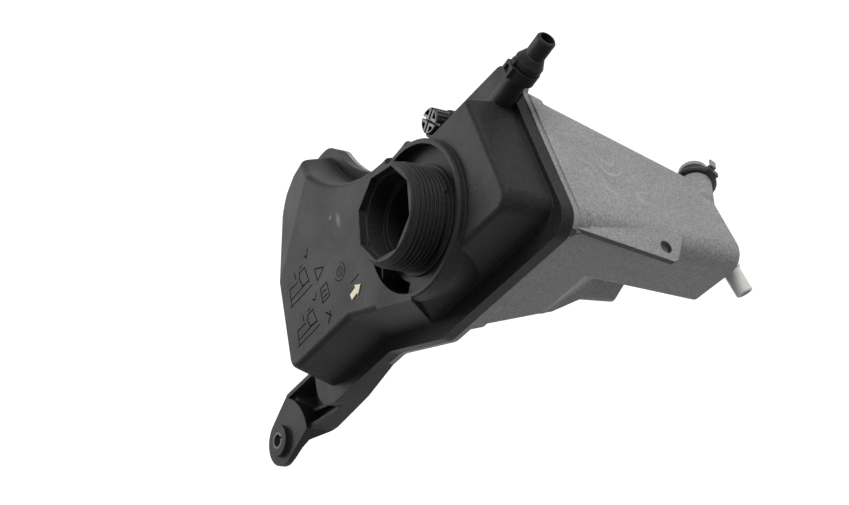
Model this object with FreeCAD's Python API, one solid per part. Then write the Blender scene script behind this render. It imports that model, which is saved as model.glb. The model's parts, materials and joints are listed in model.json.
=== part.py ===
import FreeCAD, Part
import math
import os

os.makedirs("parts", exist_ok=True)
Vec = FreeCAD.Vector

# Coolant expansion tank. Millimetres. The tank is drawn about the filler neck: Z is the neck's axis,
# Z = 0 the mouth, X runs along the tank towards the vent spigot and Y towards the rear.
# At the end everything moves so that the origin is the mounting ear's bore on top of its boss.

# Shell walls and the weld flange
WALL = 3.0
FLANGE_TOP = -49.5
FLANGE_UPPER = 7.3
FLANGE_LOWER = 3.2
RIM_DEPTH = 8.0
RIM_PROUD = 1.0

# Flange outline
TANK_LEFT = -157.5
TANK_FRONT_LEFT = -29.3
TANK_FRONT_RIGHT = -46.8
BEND_START_X = -81.9
BEND_END_X = -37.1
TANK_RIGHT_AT_FRONT = 78.6
RIGHT_SIDE_LEAN = 10.1
DECK_REAR = 64.7
NOTCH_X = -20.0
NOTCH_R = 81.0
NOTCH_END_ANGLE = 27.0
TANK_REAR = 120.0

# Cover
COVER_LEFT_TOP = -17.6
COVER_RIGHT_TOP = -21.5
COVER_STEP_X = -12.0
COVER_LEFT_RIM = 9.0
COVER_BEND_RIM = 9.3
COVER_RIGHT_FRONT_RIM = 11.3
COVER_RIGHT_RIM = 3.4
COVER_REAR_RIM = 8.0
COVER_DECK = 24.5
COVER_END_RIM = 12.0
COVER_EDGE_R = 3.5
COVER_NOTCH_GAP = 7.0
COVER_NOTCH_FLARE = 2.5
COVER_NOTCH_LEAN = 10.0
SHOULDER_FALL = 0.32

# Filler neck and its basin
NECK_BORE_R = 22.4
NECK_ROOT_R = 26.6
NECK_THREAD_R = 28.0
NECK_THREAD_PITCH = 2.6
NECK_THREAD_TURNS = 6
NECK_THREAD_TOP = -5.4
NECK_LEDGE_R = 19.0
NECK_LEDGE_Z = -15.0
NECK_FOOT_Z = -34.0
MOUTH_R = 26.0
MOUTH_OCTAGON_R = 24.6
MOUTH_OCTAGON_DEPTH = 4.5
BASIN_RING_R = 42.25
BASIN_RING_WALL = 2.8
BASIN_RING_SPREAD = 7.0
BASIN_RING_STRAIGHT = 9.0
BASIN_RING_EDGE = 0.8
BASIN_FLOOR = -24.5
NECK_RIB_ANGLE = -157.5
NECK_RIB = 1.6
NECK_COLLAR = 0.8
DRAIN_POCKETS = [(-196.0, -159.0), (-156.0, -129.0)]
DRAIN_POCKET_R = 33.0
DRAIN_POCKET_DEPTH = 9.0

# Mounting ear
EAR_TO_NECK_X = 202.0
EAR_TO_NECK_Y = 23.5
EAR_BOSS_TOP = -47.0
EAR_BOSS_R = 9.4
EAR_PLATE_TOP = -50.0
EAR_PLATE = 3.8
EAR_LUG_R = 14.8
SLEEVE_BORE_R = 3.6
SLEEVE_WALL = 1.4
SLEEVE_SLIT = 1.2
SLEEVE_FIT = 0.02
ARM_FLOOR = -62.0
ARM_SKIN = 2.6
ARM_SKIRT = [(14.0, -54.5), (20.0, -56.0), (28.0, -67.0), (33.0, -68.0), (52.0, -67.0), (71.5, -65.8)]
SKIRT_END = 107.0
SHELL_GAP = 0.4

# Vent spigot on the rear deck
VENT_Y = 47.4
VENT_Z = -43.5
VENT_ROOT_R = 6.0
VENT_BORE_R = 4.0
VENT_ROOT_X = 50.0
VENT_COLLAR_X = 76.4
VENT_GROOVE_X = 84.4
VENT_CONE_X = 91.4
VENT_TIP_X = 103.4
VENT_COLLAR_R = 8.5
VENT_CONE_R = 8.0
VENT_TUBE_R = 5.4
VENT_FIN = 1.2
VENT_TAB = 1.5

# Bleed screw
BLEED_X = 20.0
BLEED_Y = 50.5
BLEED_SEAT_Z = -38.5
BLEED_HEAD_R = 7.2
BLEED_HEAD = 10.0
BLEED_SHANK_R = 4.0
BLEED_SHANK = 7.0
BLEED_TURN = 38.0
BLEED_FLUTES = 16
BLEED_FLUTE_R = 0.7
BLEED_CROSS_WALL = 1.5
BLEED_CROSS_SLOT = 1.4
BLEED_RIM_WALL = 1.2
BLEED_POCKET = 3.6
BLEED_SEAL_FIT = 0.1
BLEED_BORE_FIT = 0.05
BLEED_SEAL_WIRE = 0.9
BLEED_BOSS_R = 8.0

# Lower shell
LEG_FRONT = -44.0
LEG_DRAFT = 1.8
LEG_RIGHT = 69.44
LEG_RIGHT_LEAN = 9.8
LEG_RIGHT_DRAFT = 3.99
LEG_REAR = 46.5
LEG_REAR_Z = -64.0
LEG_REAR_SLOPE = 16.2
LEG_CORNER_R = 11.0
LEG_LEFT_AT_TOP = 32.0
LEG_LEFT_TOP_Z = -95.0
LEG_LEFT_LEAN = 0.085
FLOOR_CORNER = (68.9, -40.5, -180.6)
FLOOR_FALL_X = -0.03
FLOOR_FALL_Y = 0.10
LOBE_Y = -39.5
LOBE_X = 3.0
LOBE_LOW = -134.8
VALLEY_X = 27.0
PAN_SET_IN = 8.5
PAN_DEPTH = 18.0
VALLEY_Y = -30.0
VALLEY_TOP = -92.0
VALLEY_FALL = 1.86
VALLEY_R = 8.0
LEG_FLOOR_R = 3.0
FIN_X = 72.0
FIN_PLATE = 3.0
FIN_HOLE_Y = -44.0
FIN_HOLE_Z = -118.0
FIN_HOLE_R = 3.6

# Outlet spigot: places are measured along its axis from the foot of the leg's rear wall
OUTLET_X = 52.2
OUTLET_TILT = 20.0
OUTLET_R = 9.2
OUTLET_BORE_R = 5.2
OUTLET_ROOT = 22.0
OUTLET_ROOT_CONE = 10.0
OUTLET_BORE_START = 8.0
OUTLET_SEAT = 4.6
OUTLET_RING = 3.0
OUTLET_RING_R = 12.0
OUTLET_COLLAR_R = 7.8
OUTLET_HEAD_R = 8.3
OUTLET_END = 17.0
OUTLET_RING_FIT = 0.05
OUTLET_SPRING = 1.2
OUTLET_SPRING_BAND = 1.4
OUTLET_TAB_ANGLE = 11.0
OUTLET_TAB_R = 14.5
OUTLET_SEAL = 11.5
OUTLET_SEAL_WIRE = 0.9
OUTLET_GROOVE_R = 6.8

# Level sensor and float
SENSOR_X = 49.0
SENSOR_Y = -21.5
WELL_R = 6.5
WELL_BORE_R = 4.5
WELL_TOP = -112.0
WELL_PROUD = 1.9
ROD_R = 4.1
SENSOR_HEAD_R = 10.0
SENSOR_HEAD = 5.5
STUB_R = 4.8
STUB_ROOT_R = 5.6
STUB_STEP = 12.5
STUB_LENGTH = 27.1
FLOAT_R = 11.5
FLOAT_GAP = 0.6
FLOAT_HEIGHT = 14.0
FLOAT_REST = -163.0
FLOAT_TRAVEL = 32.0
FLOAT_SEAT_GAP = 0.3
MAGNET_R = 10.1
MAGNET = 3.0
MAGNET_FIT = 0.05
STOP_FIT = 0.05
SENSOR_SEAL_WIRE = 1.2
STUB_SOCKET = 9.0
PIN_SIZE = 0.8
PIN_PITCH = 2.6
PIN_ROOT = 3.0
BOARD = 0.8
BOARD_HALF = 2.2
REED_R = 1.1
REED_LENGTH = 14.0

# A size that reaches past the whole tank, for planes and cuts that go right through
far = 2 * (EAR_TO_NECK_X + TANK_RIGHT_AT_FRONT)


def cylinder(radius, z0, z1, x=0.0, y=0.0):
    return Part.makeCylinder(radius, z1 - z0, Vec(x, y, z0))


def fused(shapes):
    return shapes[0].multiFuse(shapes[1:]).removeSplitter()


def inset(points, amounts):
    """Moves each edge of a counterclockwise polygon inwards by its own amount."""
    count = len(points)
    lines = []
    for i in range(count):
        (ax, ay), (bx, by) = points[i], points[(i + 1) % count]
        length = math.hypot(bx - ax, by - ay)
        ux, uy = (bx - ax) / length, (by - ay) / length
        lines.append((ax - uy * amounts[i], ay + ux * amounts[i], ux, uy))
    result = []
    for i in range(count):
        px, py, ux, uy = lines[i - 1]
        qx, qy, vx, vy = lines[i]
        t = ((qx - px) * vy - (qy - py) * vx) / (ux * vy - uy * vx)
        result.append((px + t * ux, py + t * uy))
    return result


def tapered(points, drafts, z_base, z_end, grow=0.0):
    """A solid on a polygon at z_base whose walls lean in by each edge's own share of the height."""
    base = inset(points, [grow] * len(points))
    end = inset(points, [grow + d * abs(z_end - z_base) for d in drafts])
    low = [Vec(x, y, z_base) for x, y in base]
    high = [Vec(x, y, z_end) for x, y in end]
    faces = [Part.Face(Part.makePolygon(low + low[:1])), Part.Face(Part.makePolygon(high + high[:1]))]
    for i in range(len(low)):
        j = (i + 1) % len(low)
        faces.append(Part.Face(Part.makePolygon([low[i], low[j], high[j], high[i], low[i]])))
    solid = Part.Solid(Part.Shell(faces))
    if solid.Volume < 0:
        solid.reverse()
    return solid


def rounded_wire(points, radii, z):
    """A closed outline whose corners are rounded by tangent arcs."""
    count = len(points)
    edges = []
    ends = []
    for i in range(count):
        corner = Vec(points[i][0], points[i][1], z)
        before = Vec(points[i - 1][0], points[i - 1][1], z) - corner
        after = Vec(points[(i + 1) % count][0], points[(i + 1) % count][1], z) - corner
        before.normalize()
        after.normalize()
        half = before.getAngle(after) / 2
        run = radii[i] / math.tan(half)
        middle = before + after
        middle.normalize()
        centre = corner + middle * (radii[i] / math.sin(half))
        ends.append((corner + before * run, centre - middle * radii[i], corner + after * run))
    for i in range(count):
        start, mid, stop = ends[i]
        edges.append(Part.Arc(start, mid, stop).toShape())
        edges.append(Part.makeLine(stop, ends[(i + 1) % count][0]))
    return Part.Wire(edges)


def rounded_prism(points, radii, z0, z1):
    return Part.Face(rounded_wire(points, radii, z0)).extrude(Vec(0, 0, z1 - z0))


def beyond(point, normal):
    """Everything on the outer side of a plane, as a box larger than the tank."""
    box = Part.makeBox(far, far, far, Vec(-far / 2, -far / 2, 0))
    box.Placement = FreeCAD.Placement(Vec(*point), FreeCAD.Rotation(Vec(0, 0, 1), Vec(*normal)))
    return box


def turned(axis, point, profile):
    """Revolves (position along the axis, radius) pairs into a solid."""
    direction = Vec(*axis)
    direction.normalize()
    rotation = FreeCAD.Rotation(Vec(1, 0, 0), direction)
    points = [Vec(profile[0][0], 0, 0)] + [Vec(s, r, 0) for s, r in profile] + [Vec(profile[-1][0], 0, 0)]
    solid = Part.Face(Part.makePolygon(points + points[:1])).revolve(Vec(0, 0, 0), Vec(1, 0, 0), 360)
    solid.Placement = FreeCAD.Placement(Vec(*point), rotation)
    return solid


def side_prism(points, y0, y1):
    """Extrudes an outline of (x, z) points along Y."""
    wire = Part.makePolygon([Vec(x, y0, z) for x, z in points + points[:1]])
    return Part.Face(wire).extrude(Vec(0, y1 - y0, 0))


def end_prism(points, x0, x1):
    """Extrudes an outline of (y, z) points along X."""
    wire = Part.makePolygon([Vec(x0, y, z) for y, z in points + points[:1]])
    return Part.Face(wire).extrude(Vec(x1 - x0, 0, 0))


def upright_edges(shape, places, reach=8.0):
    """The edges that rise near the given plan positions."""
    found = []
    for edge in shape.Edges:
        a, b = edge.Vertexes[0].Point, edge.Vertexes[-1].Point
        if abs(a.z - b.z) < 12:
            continue
        low = a if a.z < b.z else b
        for x, y in places:
            if math.hypot(low.x - x, low.y - y) < reach:
                found.append(edge)
                break
    return found


# The flange outline runs counterclockwise from its front left corner
lean = math.tan(math.radians(RIGHT_SIDE_LEAN))
end_angle = math.radians(NOTCH_END_ANGLE)
notch_y = DECK_REAR + NOTCH_R
notch_stop = (NOTCH_X - NOTCH_R * math.cos(end_angle), notch_y - NOTCH_R * math.sin(end_angle))
notch_pull = math.tan(end_angle)
notch_corner_x = notch_stop[0] + (notch_stop[1] - DECK_REAR) * notch_pull
rear_corner_x = notch_stop[0] - (TANK_REAR - notch_stop[1]) * notch_pull
weld_z = FLANGE_TOP - FLANGE_UPPER
flange_bottom = weld_z - FLANGE_LOWER


def right_side(y):
    return TANK_RIGHT_AT_FRONT - (y - TANK_FRONT_RIGHT) * lean


lug_start = DECK_REAR - 19.5
rear_left_points = [(-113.0, TANK_REAR), (-137.0, 111.0), (-152.0, 84.0)]
flange_points = [
    (TANK_LEFT, TANK_FRONT_LEFT),
    (BEND_START_X, TANK_FRONT_LEFT),
    (BEND_END_X, TANK_FRONT_RIGHT),
    (TANK_RIGHT_AT_FRONT, TANK_FRONT_RIGHT),
    (right_side(lug_start), lug_start),
    (right_side(lug_start) + 5.0, lug_start + 5.5),
    (right_side(lug_start) + 4.4, DECK_REAR - 7.0),
    (58.0, DECK_REAR),
    (notch_corner_x, DECK_REAR),
    (rear_corner_x, TANK_REAR),
] + rear_left_points
flange_radii = [15.0, 14.0, 14.0, 12.0, 4.0, 4.0, 4.0, 6.0, NOTCH_R, 14.0, 12.0, 16.0, 20.0]
flange_upper_plate = rounded_prism(flange_points, flange_radii, weld_z, FLANGE_TOP)
flange_lower_plate = rounded_prism(flange_points, flange_radii, flange_bottom, weld_z)

# The cover's footprint on the flange
cover_core = [
    (TANK_LEFT, TANK_FRONT_LEFT),
    (BEND_START_X, TANK_FRONT_LEFT),
    (BEND_END_X, TANK_FRONT_RIGHT),
    (TANK_RIGHT_AT_FRONT, TANK_FRONT_RIGHT),
    (right_side(DECK_REAR), DECK_REAR),
    (24.0, DECK_REAR),
    (-6.0, DECK_REAR + 25),
    (-70.0, TANK_REAR),
] + rear_left_points
cover_rims = [COVER_LEFT_RIM, COVER_BEND_RIM, COVER_RIGHT_FRONT_RIM, COVER_RIGHT_RIM, COVER_DECK, 26.0, 10.0,
              COVER_REAR_RIM, COVER_REAR_RIM, COVER_REAR_RIM, COVER_END_RIM]
cover_drafts = [0.03, 0.14, 0.06, 0.05, 0.09, 0.0, 0.0, 0.45, 0.42, 0.4, 0.39]
cover_radii = [8.0, 8.0, 8.0, 9.0, 3.0, 4.0, 4.0, 4.0, 5.0, 14.0, 14.0]
cover_points = inset(cover_core, cover_rims)
cover_height = COVER_LEFT_TOP - FLANGE_TOP
shoulder_point = (-126.5, 39.0)


def cover_notch(grow):
    """The hollow round the neighbouring part: a leaning cone cut into the cover's rear."""
    radius = NOTCH_R + COVER_NOTCH_GAP + grow
    above = Vec(NOTCH_X + COVER_NOTCH_LEAN, notch_y - COVER_NOTCH_LEAN, COVER_LEFT_TOP + 2)
    low = Part.Wire(Part.makeCircle(radius, Vec(NOTCH_X, notch_y, weld_z - 1)))
    high = Part.Wire(Part.makeCircle(radius + COVER_NOTCH_FLARE, above))
    return Part.makeLoft([low, high], True, True)


def cover_body(grow, low):
    """The cover with its walls set in by grow, reaching down to the given height."""
    run_out = [-d * (FLANGE_TOP - low) for d in cover_drafts]
    body = tapered(inset(cover_points, run_out), cover_drafts, low, COVER_LEFT_TOP - grow, grow)
    body = body.cut(cover_notch(grow))
    right_top = Part.makeBox(far, far, far, Vec(COVER_STEP_X - grow, -far / 2, COVER_RIGHT_TOP - grow))
    body = body.cut(right_top)
    fall = (-SHOULDER_FALL * 0.714, SHOULDER_FALL * 0.7, 1.0)
    drop = grow * math.sqrt(1 + SHOULDER_FALL ** 2)
    point = (shoulder_point[0], shoulder_point[1], COVER_LEFT_TOP - drop)
    return body.cut(beyond(point, fall))


def cover_inside():
    """The hollow under the cover, open down through the flange."""
    places = inset(cover_points, [WALL] * len(cover_points))
    body = cover_body(WALL, weld_z - 0.5)
    for i in (0, 1, 2, 3, 9, 10):
        body = body.makeFillet(cover_radii[i] - WALL, upright_edges(body, [places[i]]))
    return body


def rounded_cover():
    body = cover_body(0.0, FLANGE_TOP)
    for i in (3, 0, 1, 9, 10, 4, 8):
        body = body.makeFillet(cover_radii[i], upright_edges(body, [cover_points[i]]))
    rim = []
    for edge in body.Edges:
        a, b = edge.Vertexes[0].Point, edge.Vertexes[-1].Point
        on_step = max(abs(a.x - COVER_STEP_X), abs(b.x - COVER_STEP_X)) < 0.01
        if min(a.z, b.z) > FLANGE_TOP + 15 and abs(a.z - b.z) < 8 and not on_step:
            rim.append(edge)
    return body.makeFillet(COVER_EDGE_R, rim)


def bend_web():
    """Carries the bend's slanted wall up to the basin ring."""
    base_left = inset(cover_core, cover_rims)[1]
    base_right = inset(cover_core, cover_rims)[2]
    ends = inset(cover_core, [r + d * cover_height for r, d in zip(cover_rims, cover_drafts)])
    along = Vec(ends[2][0] - ends[1][0], ends[2][1] - ends[1][1], 0)
    along.normalize()
    run_out = Vec(ends[2][0], ends[2][1], COVER_LEFT_TOP) + along * 20
    low = Vec(base_right[0], base_right[1], FLANGE_TOP)
    normal = along.cross(low - run_out)
    if normal.y > 0:
        normal = normal * -1
    block = Part.makeBox(60, 60, cover_height, Vec(-50, -50, FLANGE_TOP))
    block = block.cut(beyond((run_out.x, run_out.y, run_out.z), (normal.x, normal.y, normal.z)))
    side = (low - run_out).cross(Vec(0, 0, COVER_LEFT_TOP) - run_out)
    if side.x < 0:
        side = side * -1
    block = block.cut(beyond((run_out.x, run_out.y, run_out.z), (side.x, side.y, side.z)))
    block = block.cut(beyond((-50, 0, FLANGE_TOP), (0, 1, 0)))
    return block.common(Part.makeBox(60, 50, cover_height, Vec(base_left[0] + 35, -50, FLANGE_TOP)))


def basin_ring():
    """The basin's outside, which flares up from the flange to the rim."""
    return turned((0, 0, 1), (0, 0, FLANGE_TOP), [
        (0, BASIN_RING_R - BASIN_RING_SPREAD),
        (cover_height - BASIN_RING_STRAIGHT, BASIN_RING_R),
        (cover_height - BASIN_RING_EDGE, BASIN_RING_R),
        (cover_height, BASIN_RING_R - BASIN_RING_EDGE),
    ])


def basin_sector(inner, outer, start, stop, z0, z1):
    ring = cylinder(outer, z0, z1).cut(cylinder(inner, z0 - 1, z1 + 1))
    reach = outer * 2
    a, b = math.radians(start), math.radians(stop)
    wedge = [(0, 0), (reach * math.cos(a), reach * math.sin(a)), (reach * math.cos(b), reach * math.sin(b))]
    wire = Part.makePolygon([Vec(x, y, z0 - 1) for x, y in wedge + wedge[:1]])
    return ring.common(Part.Face(wire).extrude(Vec(0, 0, z1 - z0 + 2)))


def neck_outside():
    profile = [
        (NECK_FOOT_Z, NECK_LEDGE_R + WALL),
        (BASIN_FLOOR - WALL, NECK_LEDGE_R + WALL),
        (BASIN_FLOOR - WALL, NECK_THREAD_R + 1.5),
        (BASIN_FLOOR + 1.6, NECK_THREAD_R + 1.5),
        (BASIN_FLOOR + 2.2, NECK_ROOT_R),
        (NECK_THREAD_TOP + 0.6, NECK_ROOT_R),
        (NECK_THREAD_TOP + 1.0, NECK_ROOT_R + NECK_COLLAR),
        (NECK_THREAD_TOP + 2.2, NECK_ROOT_R + NECK_COLLAR),
        (NECK_THREAD_TOP + 2.8, MOUTH_R + 0.2),
        (-0.7, MOUTH_R),
        (0, MOUTH_R - 0.7),
    ]
    return turned((0, 0, 1), (0, 0, 0), profile)


def neck_thread():
    """A single start ridge wound round the neck."""
    height = NECK_THREAD_PITCH * NECK_THREAD_TURNS
    start = NECK_THREAD_TOP - height
    root = NECK_ROOT_R - 0.3
    half = NECK_THREAD_PITCH * 0.36
    helix = Part.makeHelix(NECK_THREAD_PITCH, height, root)
    helix.translate(Vec(0, 0, start))
    section = [(root, -half), (NECK_THREAD_R, -0.3), (NECK_THREAD_R, 0.3), (root, half)]
    points = [Vec(r, 0, start + z) for r, z in section]
    wire = Part.makePolygon(points + points[:1])
    return Part.Wire(helix).makePipeShell([wire], True, True)


def neck_rib():
    """The thin rib that braces the neck across the basin."""
    points = [(NECK_BORE_R + 2, BASIN_FLOOR - 1), (BASIN_RING_R - 1, BASIN_FLOOR - 1),
              (BASIN_RING_R - 1, COVER_LEFT_TOP - 2.4), (NECK_BORE_R + 2, NECK_THREAD_TOP - 6)]
    wire = Part.makePolygon([Vec(r, -NECK_RIB / 2, z) for r, z in points + points[:1]])
    rib = Part.Face(wire).extrude(Vec(0, NECK_RIB, 0))
    rib.rotate(Vec(0, 0, 0), Vec(0, 0, 1), NECK_RIB_ANGLE)
    return rib


def mouth_octagon():
    """The eight-sided mouth that holds the cap's key."""
    angles = [math.radians(10 + 45 * i) for i in range(8)]
    corners = [(MOUTH_OCTAGON_R * math.cos(a), MOUTH_OCTAGON_R * math.sin(a)) for a in angles]
    return upright_prism(corners, -MOUTH_OCTAGON_DEPTH, 1)


def touch_point(centre, radius, point, side):
    """Where a line from the point touches the circle, on the chosen side."""
    dx, dy = point[0] - centre[0], point[1] - centre[1]
    angle = math.atan2(dy, dx) + side * math.acos(radius / math.hypot(dx, dy))
    return (centre[0] + radius * math.cos(angle), centre[1] + radius * math.sin(angle))


ear_x, ear_y = -EAR_TO_NECK_X, -EAR_TO_NECK_Y
arm_rear = 0.3
ear_boss_low = EAR_PLATE_TOP - EAR_PLATE - 2.4
plate_corner = (ear_x + 14.0, arm_rear)
plate_front = (ear_x + 28.0, TANK_FRONT_LEFT)
skirt_start = TANK_LEFT + 7.5
skirt_end = ear_x + SKIRT_END


def arm_plan(skin):
    """The arm's outline seen from above, from the lug's tangents to the flange."""
    rear_touch = touch_point((ear_x, ear_y), EAR_LUG_R - skin, (plate_corner[0], arm_rear - skin), 1)
    front_touch = touch_point((ear_x, ear_y), EAR_LUG_R - skin, (plate_front[0], TANK_FRONT_LEFT + skin), -1)
    root_x = TANK_LEFT + 16
    front, rear = TANK_FRONT_LEFT + skin, arm_rear - skin
    return [
        rear_touch, front_touch, (plate_front[0], front),
        (root_x, front), (root_x, rear), (plate_corner[0], rear)]


def upright_prism(points, z0, z1):
    wire = Part.makePolygon([Vec(x, y, z0) for x, y in points + points[:1]])
    return Part.Face(wire).extrude(Vec(0, 0, z1 - z0))


def pocket_outline(grow):
    """The sunken pocket between the lug plate's curved end and the flange."""
    rear, front = arm_rear - ARM_SKIN + grow, TANK_FRONT_LEFT + ARM_SKIN - grow
    arc = Part.Arc(Vec(plate_corner[0] - grow, rear, 0), Vec(plate_corner[0] + 10.6 - grow, ear_y + 9.5, 0),
                   Vec(plate_front[0] - grow, front, 0)).toShape()
    right = TANK_LEFT + 20
    outline = [Vec(plate_front[0] - grow, front, 0), Vec(right, front, 0), Vec(right, rear, 0),
               Vec(plate_corner[0] - grow, rear, 0)]
    return Part.Wire([arc] + [Part.makeLine(a, b) for a, b in zip(outline, outline[1:])])


def skirt_strip(gap):
    """The strip along the flange's front that the arm's skirt takes from the lower shell."""
    return Part.makeBox(skirt_end - skirt_start + 2 * gap, ARM_SKIN + gap + 1, 60,
                        Vec(skirt_start - gap, TANK_FRONT_LEFT - 1, weld_z - 60))


def ear_arm():
    """The lug, its hollow arm with the sunken pocket, the skirt along the flange, and the boss."""
    plate_low = EAR_PLATE_TOP - EAR_PLATE
    skirt = [(ear_x - 30, EAR_PLATE_TOP), (ear_x - 30, plate_low), (ear_x + 2, plate_low)]
    skirt += [(ear_x + dx, z) for dx, z in ARM_SKIRT]
    skirt += [(skirt_end, flange_bottom), (skirt_end, EAR_PLATE_TOP)]
    arm = upright_prism(arm_plan(0.0), EAR_PLATE_TOP - 25, EAR_PLATE_TOP).common(side_prism(skirt, -60, 20))
    arm = arm.fuse(cylinder(EAR_LUG_R, plate_low, EAR_PLATE_TOP, ear_x, ear_y))
    pocket = Part.Face(pocket_outline(0.0)).extrude(Vec(0, 0, 30))
    pocket.translate(Vec(0, 0, ARM_FLOOR))
    pocket = pocket.common(side_prism([(x, z + ARM_SKIN) for x, z in skirt], -60, 20))
    shell_end = Part.Face(pocket_outline(ARM_SKIN)).extrude(Vec(0, 0, 60))
    shell_end.translate(Vec(0, 0, ARM_FLOOR - ARM_SKIN))
    hollow = upright_prism(arm_plan(ARM_SKIN), EAR_PLATE_TOP - 40, plate_low).cut(shell_end)
    arm = arm.cut(pocket).cut(hollow)
    near, away = plate_front[0], ear_x + 70
    slope = [(near, EAR_PLATE_TOP - 2.2), (away, EAR_PLATE_TOP - 10.8), (away, 0), (near, 0)]
    arm = arm.cut(side_prism(slope, TANK_FRONT_LEFT - 1, TANK_FRONT_LEFT + ARM_SKIN + 0.5))
    rib = upright_prism([(ear_x + 26, -16.8), (ear_x + 52, -23.3), (ear_x + 52, -21.5), (ear_x + 26, -15)],
                        ARM_FLOOR - 1, ARM_FLOOR + 4)
    band = side_prism(skirt, TANK_FRONT_LEFT, TANK_FRONT_LEFT + ARM_SKIN)
    below = Part.makeBox(skirt_end - skirt_start, 40, 60, Vec(skirt_start, TANK_FRONT_LEFT - 1, weld_z - 59))
    boss = cylinder(EAR_BOSS_R, ear_boss_low, EAR_BOSS_TOP, ear_x, ear_y)
    return arm.multiFuse([rib, band.common(below), boss])


def vent_square(shape):
    """Turns what is drawn along X about the tip, so that the spigot stands square to the right wall."""
    shape.rotate(Vec(VENT_TIP_X, VENT_Y, 0), Vec(0, 0, 1), RIGHT_SIDE_LEAN)
    return shape


def vent_spigot():
    profile = [
        (VENT_ROOT_X, VENT_ROOT_R),
        (VENT_COLLAR_X, VENT_ROOT_R),
        (VENT_COLLAR_X, VENT_COLLAR_R),
        (VENT_GROOVE_X - 1.4, VENT_COLLAR_R),
        (VENT_GROOVE_X - 1.4, VENT_CONE_R - 1.2),
        (VENT_GROOVE_X, VENT_CONE_R - 1.2),
        (VENT_GROOVE_X, VENT_CONE_R),
        (VENT_GROOVE_X + 2.5, VENT_CONE_R),
        (VENT_CONE_X, VENT_TUBE_R + 0.4),
        (VENT_CONE_X, VENT_TUBE_R),
        (VENT_TIP_X - 1.0, VENT_TUBE_R),
        (VENT_TIP_X, VENT_TUBE_R - 0.8),
    ]
    spigot = turned((1, 0, 0), (0, VENT_Y, VENT_Z), profile)
    tab_high = VENT_COLLAR_R + VENT_TAB
    tab_long = VENT_GROOVE_X - VENT_COLLAR_X - 1.4
    tab = Part.makeBox(tab_long, 7.6, tab_high, Vec(VENT_COLLAR_X, VENT_Y - 3.8, VENT_Z))
    slot_corner = Vec(VENT_COLLAR_X + 1.3, VENT_Y - 2.0, VENT_Z + tab_high - 1.2)
    slot = Part.makeBox(tab_long - 2.6, 4.0, 2.2, slot_corner)
    fin_end = VENT_CONE_X - 0.5
    fin_high = VENT_CONE_R + VENT_FIN
    fin_points = [(VENT_GROOVE_X - 1.4, 0.0), (fin_end, 0.0), (fin_end, VENT_TUBE_R + 0.6),
                  (VENT_GROOVE_X + 1.0, fin_high), (VENT_GROOVE_X - 1.4, fin_high)]
    fin = side_prism([(x, z + VENT_Z) for x, z in fin_points], VENT_Y - 1.1, VENT_Y + 1.1)
    saddle = Part.makeBox(18, 7, 8, Vec(VENT_ROOT_X + 1, VENT_Y - 3.5, FLANGE_TOP - 0.5))
    gusset_x = VENT_ROOT_X + 6.0
    gusset_wire = Part.makePolygon([Vec(gusset_x, VENT_Y - 1, FLANGE_TOP - 0.5),
                                    Vec(gusset_x, DECK_REAR - 5, FLANGE_TOP - 0.5),
                                    Vec(gusset_x, VENT_Y + 4.0, VENT_Z + 2.0),
                                    Vec(gusset_x, VENT_Y - 1, FLANGE_TOP - 0.5)])
    gusset = Part.Face(gusset_wire).extrude(Vec(2.4, 0, 0))
    return [vent_square(part) for part in (spigot, tab.cut(slot), fin, saddle, gusset)]


def vent_passage():
    ends = [(VENT_ROOT_X + 3, VENT_BORE_R), (VENT_TIP_X + 1, VENT_BORE_R)]
    bore = turned((1, 0, 0), (0, VENT_Y, VENT_Z), ends)
    duct = turned((0, -1, 0), (VENT_ROOT_X + 6, VENT_Y, VENT_Z), [(0, 2.4), (18, 2.4)])
    return vent_square(bore.fuse(duct))


def bleed_boss():
    boss = cylinder(BLEED_BOSS_R, FLANGE_TOP - 0.5, BLEED_SEAT_Z, BLEED_X, BLEED_Y)
    web = Part.makeBox(8, BLEED_Y - 33, 7, Vec(BLEED_X - 4, 33, FLANGE_TOP - 0.5))
    small = cylinder(4.0, FLANGE_TOP - 0.5, FLANGE_TOP + 13, BLEED_X - 12.5, BLEED_Y + 4.5)
    small = small.cut(cylinder(2.2, FLANGE_TOP + 8, FLANGE_TOP + 14, BLEED_X - 12.5, BLEED_Y + 4.5))
    return [boss, web, small]


bleed_bore_r = BLEED_SHANK_R + BLEED_BORE_FIT
bleed_floor = BLEED_SEAT_Z - BLEED_SHANK - 1.0


def bleed_passage():
    bore = cylinder(bleed_bore_r, bleed_floor, BLEED_SEAT_Z + 1, BLEED_X, BLEED_Y)
    duct = turned((0, -1, 0), (BLEED_X, BLEED_Y, FLANGE_TOP + 3.2), [(0, 1.5), (BLEED_Y - 28, 1.5)])
    return bore.fuse(duct)


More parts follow.
